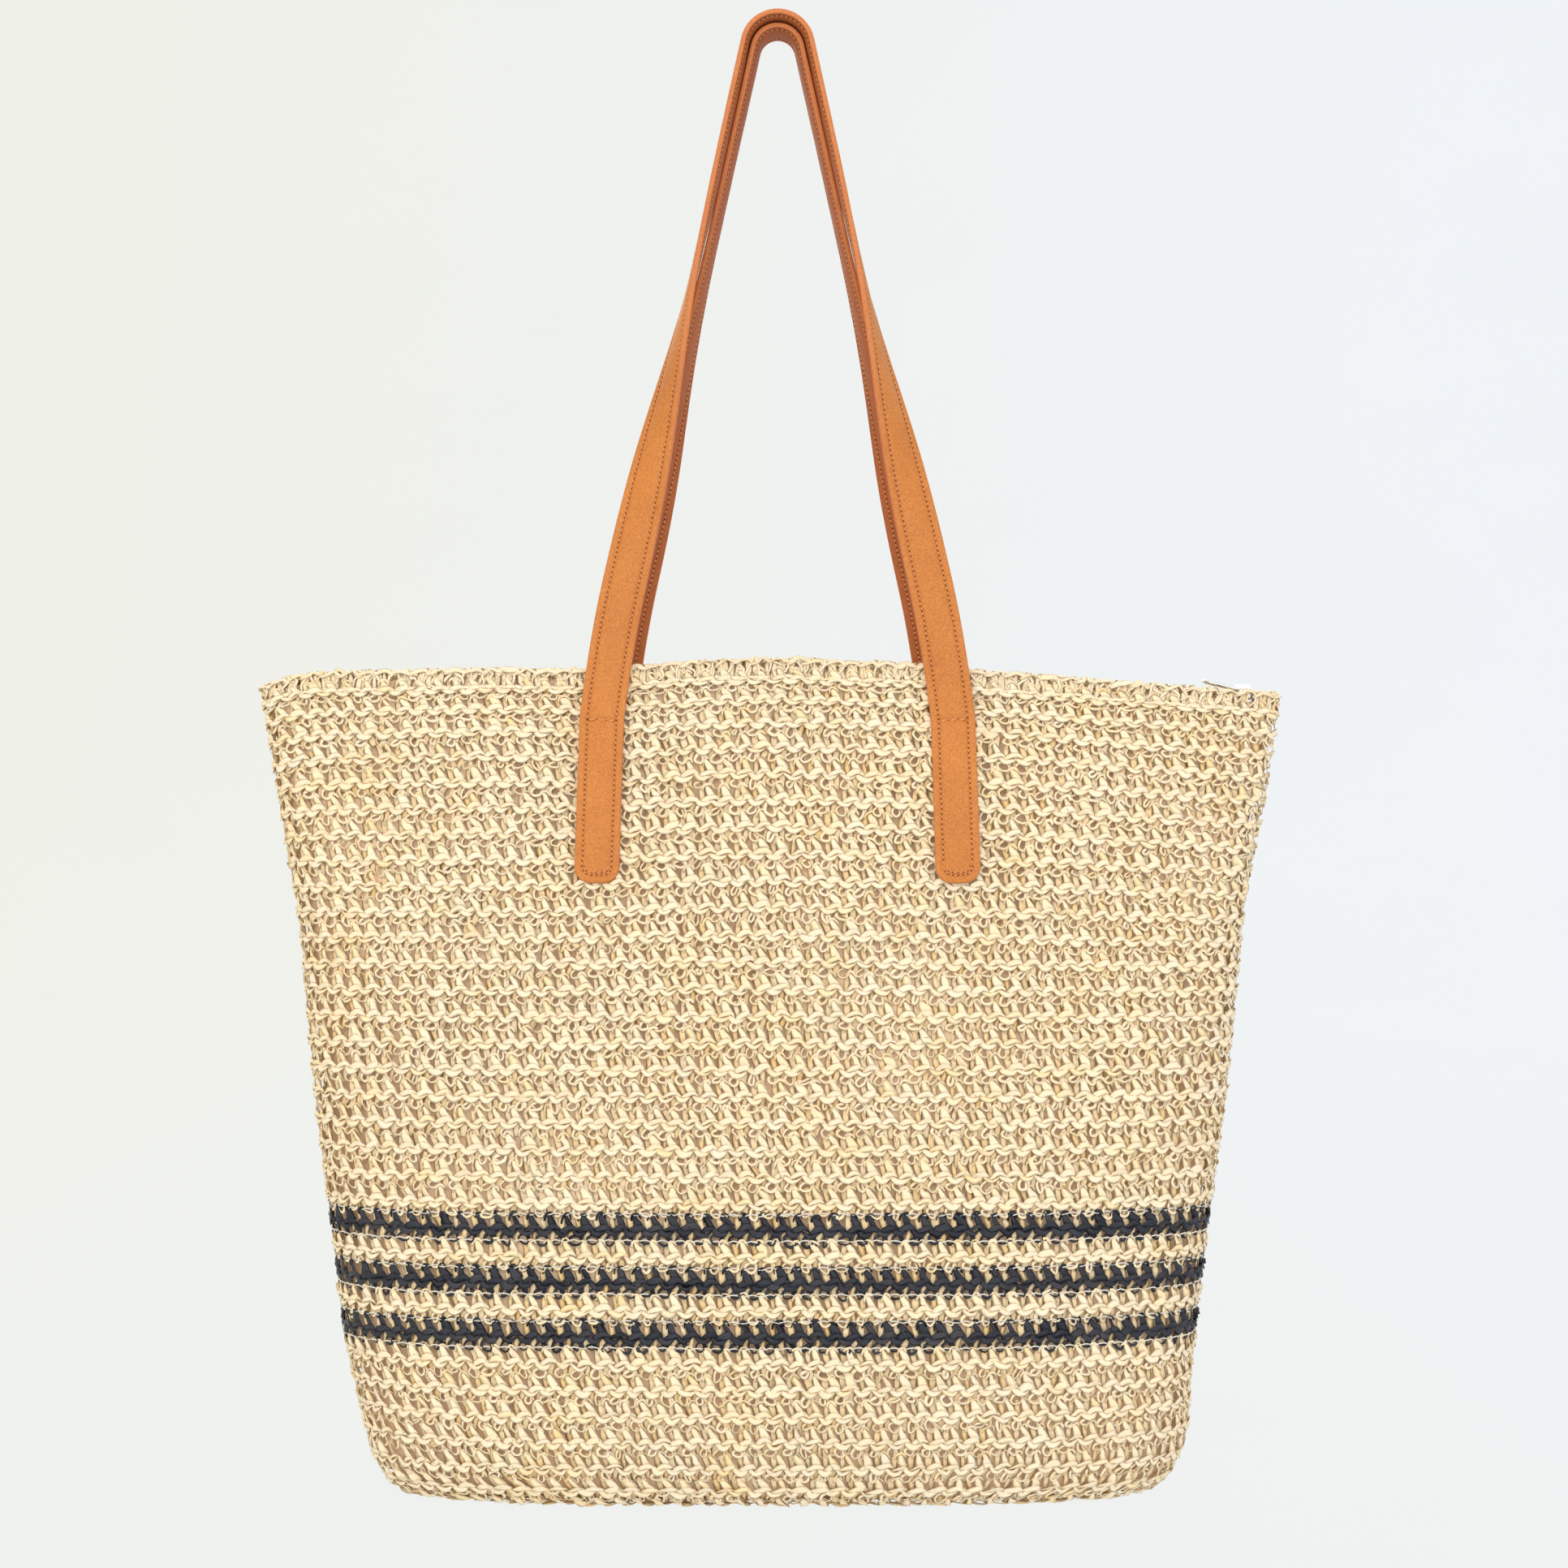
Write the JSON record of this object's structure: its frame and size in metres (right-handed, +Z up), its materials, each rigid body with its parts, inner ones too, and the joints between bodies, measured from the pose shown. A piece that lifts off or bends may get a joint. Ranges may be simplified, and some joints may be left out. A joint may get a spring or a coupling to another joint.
{
  "type": "straw tote bag",
  "caption": "Crocheted straw beach tote with navy stripes near the base, leather strap handles, a zipped mouth and a loose cloth lining.",
  "frame": {"origin": "underside of the base, at the middle of the bag", "axes": "+Z up from base to handles, -Y out of the front, +X towards the closed end of the zip"},
  "size_m": [0.445, 0.124, 0.6375],
  "materials": {
    "straw": "cream paper straw, crocheted, matt",
    "navy_straw": "navy paper straw, crocheted, matt",
    "lining": "tan woven cotton lining",
    "zip_tape": "woven polyester tape, beige",
    "zip_teeth": "moulded teeth, beige",
    "zip_metal": "nickel-plated zinc and wire",
    "leather": "tan smooth coated leather, satin",
    "strap_filler": "felt filler strip"
  },
  "bodies": {
    "bag": {"straw_base": "straw", "straw_lower_wall": "straw", "straw_band_lower": "straw", "straw_band_upper": "straw", "straw_upper_wall": "straw", "rim_edging": "straw", "navy_stripe_lower": "navy_straw", "navy_stripe_middle": "navy_straw", "navy_stripe_upper": "navy_straw", "lining_front": "lining", "lining_back": "lining", "lining_base": "lining", "zip_tape_front": "zip_tape", "zip_tape_back": "zip_tape", "zip_teeth_front": "zip_teeth", "zip_teeth_back": "zip_teeth", "zip_bottom_stop": "zip_metal", "zip_top_stop": "zip_metal", "front_tab_left": "leather", "front_tab_right": "leather", "back_tab_left": "leather", "back_tab_right": "leather"},
    "front_handle": {"front_strap_outer": "leather", "front_strap_inner": "leather", "front_strap_core": "strap_filler"},
    "back_handle": {"back_strap_outer": "leather", "back_strap_inner": "leather", "back_strap_core": "strap_filler"},
    "slider": {"slider_body": "zip_metal", "slider_bridge": "zip_metal"},
    "pull": {"zip_pull": "zip_metal"}
  },
  "joints": [
    {"name": "front_handle_swing", "type": "hinge", "parent": "bag", "child": "front_handle", "pos_m": [0, -0.0229, 0.3315], "axis": [1, 0, 0], "range_deg": [0, 150]},
    {"name": "back_handle_swing", "type": "hinge", "parent": "bag", "child": "back_handle", "pos_m": [0, 0.02294, 0.3315], "axis": [-1, 0, 0], "range_deg": [0, 150]},
    {"name": "zip_slide", "type": "slide", "parent": "bag", "child": "slider", "axis": [-1, 0, 0], "range_m": [0, 0.38]},
    {"name": "zip_pull_swing", "type": "hinge", "parent": "slider", "child": "pull", "pos_m": [0.2045, 0, 0.3442], "axis": [0, 1, 0], "range_deg": [0, 110]}
  ]
}
